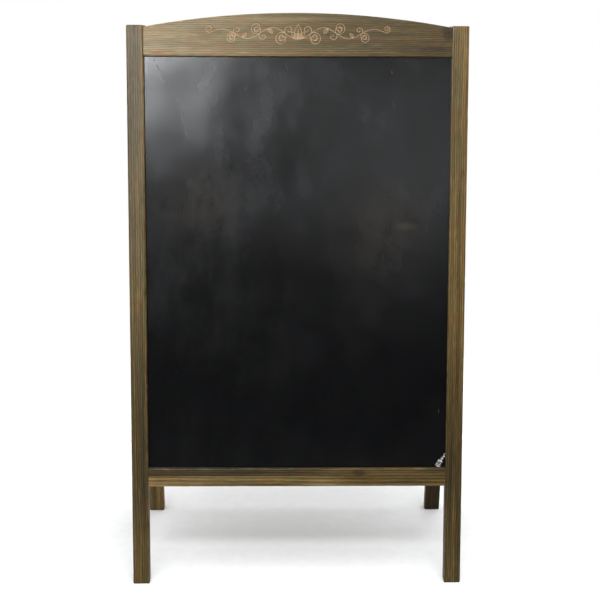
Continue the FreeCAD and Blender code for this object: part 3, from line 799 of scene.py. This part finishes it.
def writing_surface(side):
    """Black painted board with chalk haze and marks, and brown fibreboard behind."""
    shader = Shader(side + "_blackboard")
    point = shader.upright_point(side)
    x, y, z = shader.separate(point)[:3]
    low, high = upright_box(side + "_chalkboard_panel", side)
    wipes = shader.scaled(point, (10, 1, 6.5), offset=(2, 0, 5))
    wiped = shader.noise(wipes, detail=5, roughness=0.65)
    colour = chalky_paint(shader, point, z, low, wiped)
    roughness = shader.math("MULTIPLY_ADD", wiped, 0.16, 0.13)
    if side == "front":
        colour = smudged(shader, x, z, wiped, colour)
        colour, roughness = scratched(shader, point, x, z, colour, roughness)
    fibres = shader.noise(shader.scaled(point, (500, 300, 500)), detail=4, roughness=0.75)
    back = shader.step(y, high.y - BACK_SKIN, high.y - BACK_SKIN / 2)
    colour = shader.blend(back, colour, shader.ramp(fibres, FIBREBOARD_STOPS))
    roughness = shader.math("ADD", roughness, shader.math("MULTIPLY", back, 0.4))
    waves = shader.noise(shader.scaled(point, (7, 1, 5), offset=(1, 1, 7)), detail=1)
    normal = shader.bump(waves, 6 * MM, strength=0.4)
    grain = shader.noise(shader.scaled(point, (420, 420, 420)), detail=4, roughness=0.7)
    relief = shader.math("ADD", grain, fibres)
    return shader.finish(
        Base_Color=colour,
        Roughness=roughness,
        Normal=shader.bump(relief, 0.16 * MM, strength=0.6, under=normal),
        Specular_IOR_Level=0.22,
    )


# The shred of film lies along a line from start to end, (across, up) from the panel's corner.
FILM_START = (-0.6 * MM, 30 * MM)
FILM_END = (-17 * MM, 1 * MM)
FILM_ASIDE = Vector((0.84, -0.54))
FILM_STEPS = 22
FILM_COLUMNS = (-1, -0.35, 0.35, 1)
FILM_CLEARANCE = 0.4 * MM
FILM_THICKNESS = 0.12 * MM
FILM_STOPS = [(0.4, (0.05, 0.05, 0.047)), (0.52, (0.30, 0.295, 0.28)), (0.64, (0.62, 0.61, 0.58))]


def film_row(rng, share, corner, sill, face):
    """The points across the shred at a share of its length."""
    start = Vector((corner + FILM_START[0], sill + FILM_START[1]))
    end = Vector((corner + FILM_END[0], sill + FILM_END[1]))
    middle = start.lerp(end, share) + FILM_ASIDE * 0.6 * MM * math.sin(8 * share)
    belly = 1.8 * math.sin(math.pi * share) + 5.5 * share ** 2
    half = (0.2 + belly + 1.6 * rng.random()) * MM
    row = []
    for across in FILM_COLUMNS:
        place = middle + FILM_ASIDE * half * across * (0.75 + 0.5 * rng.random())
        place.x = min(place.x, corner - FILM_CLEARANCE)
        place.y = max(place.y, sill + FILM_CLEARANCE)
        lift = (0.2 + 1.5 * abs(across) ** 2 * rng.random()) * MM
        row.append((place.x, face - lift, place.y))
    return row


def film_mesh():
    """A crumpled ragged strip, whole along its middle and torn at its sides."""
    rng = random.Random(11)
    corner = upright_box("front_right_stile", "front")[0].x
    sill = upright_box("front_bottom_rail", "front")[1].z
    face = upright_box("front_chalkboard_panel", "front")[0].y - 0.15 * MM
    shape = bmesh.new()
    rows = []
    for step in range(FILM_STEPS + 1):
        row = film_row(rng, step / FILM_STEPS, corner, sill, face)
        rows.append([shape.verts.new(point) for point in row])
    for one, other in zip(rows, rows[1:]):
        for index in range(3):
            if index == 1 or rng.random() < 0.6:
                shape.faces.new((one[index], one[index + 1], other[index + 1], other[index]))
    loose = [vertex for vertex in shape.verts if not vertex.link_faces]
    bmesh.ops.delete(shape, geom=loose, context="VERTS")
    mesh = bpy.data.meshes.new("film_shred")
    shape.to_mesh(mesh)
    shape.free()
    mesh.transform(FRAMES["front"])
    return mesh


def pale_film():
    """Crinkled pale film."""
    shader = Shader("pale_film")
    crinkle = shader.noise(shader.scaled(shader.object_point(), (300, 300, 300)), detail=4)
    colour = shader.ramp(crinkle, FILM_STOPS)
    normal = shader.bump(crinkle, 0.5 * MM)
    return shader.finish(Base_Color=colour, Roughness=0.5, Normal=normal)


def torn_film():
    """The shred of pale film left at the front panel's lower right corner."""
    mesh = film_mesh()
    mesh.materials.append(pale_film())
    piece = bpy.data.objects.new("film_shred", mesh)
    bpy.context.scene.collection.objects.link(piece)
    thick = piece.modifiers.new("thickness", "SOLIDIFY")
    thick.thickness = FILM_THICKNESS
    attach(piece, "front_frame")


def metal(name, colour, roughness, metallic=1.0):
    """Plated steel with cloudy plating and fine scratches."""
    shader = Shader(name)
    point = shader.object_point()
    cloud = shader.noise(shader.scaled(point, (90, 90, 90)), detail=4)
    dark = tuple(0.6 * value for value in colour)
    tint = shader.blend(shader.step(cloud, 0.35, 0.65), dark, colour)
    scratch = shader.noise(shader.scaled(point, (2500, 200, 400)), detail=3)
    rough = shader.math("MULTIPLY_ADD", cloud, 0.3, roughness - 0.15)
    normal = shader.bump(scratch, 0.05 * MM, strength=0.3)
    return shader.finish(Base_Color=tint, Metallic=metallic, Roughness=rough, Normal=normal)


def dress(node, material):
    """Give a CAD node a better material."""
    materials = frame["nodes"][node].data.materials
    materials.clear()
    materials.append(material)


def dowel_wood():
    """Pale beech with fine dark flecks."""
    shader = Shader("beech")
    point = shader.object_point()
    cloud = shader.noise(shader.scaled(point, (60, 120, 120)), detail=3)
    fleck = shader.noise(shader.scaled(point, (400, 1800, 1800)), detail=2)
    tint = shader.blend(shader.step(cloud, 0.35, 0.65), (0.42, 0.27, 0.15), (0.52, 0.36, 0.21))
    tint = shader.blend(shader.step(fleck, 0.6, 0.7), tint, (0.26, 0.15, 0.08))
    normal = shader.bump(fleck, 0.05 * MM, strength=0.4)
    return shader.finish(Base_Color=tint, Roughness=0.6, Normal=normal)


BEECH = dowel_wood()
ZINC = metal("zinc_plate", (0.52, 0.51, 0.49), 0.38)
STEEL = metal("dark_steel", (0.055, 0.042, 0.033), 0.5, metallic=0.35)

for side in FRAMES:
    dress(side + "_chalkboard_panel", writing_surface(side))
torn_film()
for node in frame["nodes"]:
    if "hinge" in node or "stay" in node or "rivet" in node:
        dress(node, ZINC)
    elif "bolt" in node or "nut" in node:
        dress(node, STEEL)
    elif "dowel" in node:
        dress(node, BEECH)


# ---- Studio --------------------------------------------------------------------------------------

LOW_SKY = -0.05              # heights on the unit sphere between which the world brightens
HIGH_SKY = 0.3
SOFTBOX_COLOUR = (0.96, 0.98, 1.0)
FLOOR_STOPS = [(0.3, (0.84, 0.84, 0.835)), (0.7, (0.88, 0.88, 0.875))]


def studio_floor(radius):
    """A plain pale round floor."""
    shape = bmesh.new()
    bmesh.ops.create_circle(shape, cap_ends=True, segments=96, radius=radius)
    mesh = bpy.data.meshes.new("floor")
    shape.to_mesh(mesh)
    shape.free()
    floor = bpy.data.objects.new("floor", mesh)
    bpy.context.scene.collection.objects.link(floor)
    shader = Shader("pale_floor")
    speckle = shader.noise(shader.scaled(shader.object_point(), (40, 40, 40)), detail=3)
    colour = shader.ramp(speckle, FLOOR_STOPS)
    mesh.materials.append(shader.finish(Base_Color=colour, Roughness=0.8, Specular_IOR_Level=0.1))


def studio_world(low_light, high_light):
    """White behind everything for the camera; the light it gives is stronger from above."""
    world = bpy.data.worlds.new("studio")
    world.use_nodes = True
    bpy.context.scene.world = world
    tree = world.node_tree
    background = tree.nodes["Background"]
    background.inputs["Color"].default_value = (1, 1, 1, 1)
    direction = tree.nodes.new("ShaderNodeTexCoord")
    parts = tree.nodes.new("ShaderNodeSeparateXYZ")
    height = tree.nodes.new("ShaderNodeMapRange")
    height.inputs["From Min"].default_value = LOW_SKY
    height.inputs["From Max"].default_value = HIGH_SKY
    height.inputs["To Min"].default_value = low_light
    height.inputs["To Max"].default_value = high_light
    path = tree.nodes.new("ShaderNodeLightPath")
    level = tree.nodes.new("ShaderNodeMapRange")
    level.inputs["To Max"].default_value = 1.0
    tree.links.new(direction.outputs["Generated"], parts.inputs[0])
    tree.links.new(parts.outputs["Z"], height.inputs["Value"])
    tree.links.new(height.outputs["Result"], level.inputs["To Min"])
    tree.links.new(path.outputs["Is Camera Ray"], level.inputs["Value"])
    tree.links.new(level.outputs["Result"], background.inputs["Strength"])


def softbox(name, place, target, width, height, radiance, glare_only=False):
    """An area light whose face shines with a given radiance."""
    light = bpy.data.lights.new(name, "AREA")
    light.shape = "RECTANGLE"
    light.size = width
    light.size_y = height
    light.color = SOFTBOX_COLOUR
    light.energy = radiance * math.pi * width * height
    lamp = bpy.data.objects.new(name, light)
    bpy.context.scene.collection.objects.link(lamp)
    lamp.visible_diffuse = not glare_only
    lamp.location = place
    lamp.rotation_euler = (Vector(target) - Vector(place)).to_track_quat("-Z", "Y").to_euler()


def camera(place, pitch, yaw, roll, lens):
    """A camera at the photograph's viewing angle; angles in degrees, pitch downwards."""
    data = bpy.data.cameras.new("camera")
    data.lens = lens
    eye = bpy.data.objects.new("camera", data)
    bpy.context.scene.collection.objects.link(eye)
    turn = Matrix.Rotation(math.radians(-yaw), 4, "Z")
    turn = turn @ Matrix.Rotation(math.radians(90 - pitch), 4, "X")
    turn = turn @ Matrix.Rotation(math.radians(roll), 4, "Z")
    eye.matrix_world = Matrix.Translation(place) @ turn
    bpy.context.scene.camera = eye


bpy.context.scene.view_settings.view_transform = "Standard"
studio_floor(radius=1.5)
studio_world(low_light=0.04, high_light=0.7)
softbox("overhead", place=(0, -1.0, 4), target=(0, 0, 0), width=5, height=2.5, radiance=3.2)
softbox("behind", place=(1.2, 3.6, 2.4), target=(0, 0, 0.6), width=3, height=2.4, radiance=2.5)
softbox("high_front", place=(0, -2.6, 3.1), target=(0, 0, 0), width=3, height=0.6, radiance=14)
softbox(
    "front_left", place=(-0.93, -3.1, 2.05), target=(0, 0, 0.8),
    width=0.3, height=0.3, radiance=700, glare_only=True,
)
softbox(
    "front_right", place=(0.55, -3.2, 1.3), target=(0, 0, 0.8),
    width=0.5, height=0.5, radiance=4.5, glare_only=True,
)
softbox(
    "front_high", place=(1.0, -3.6, 2.1), target=(0, 0, 0.8),
    width=2.0, height=0.9, radiance=0.35, glare_only=True,
)
camera(place=(-0.0443, -2.7445, 1.3241), pitch=15.271, yaw=1.074, roll=0.280, lens=78.47)
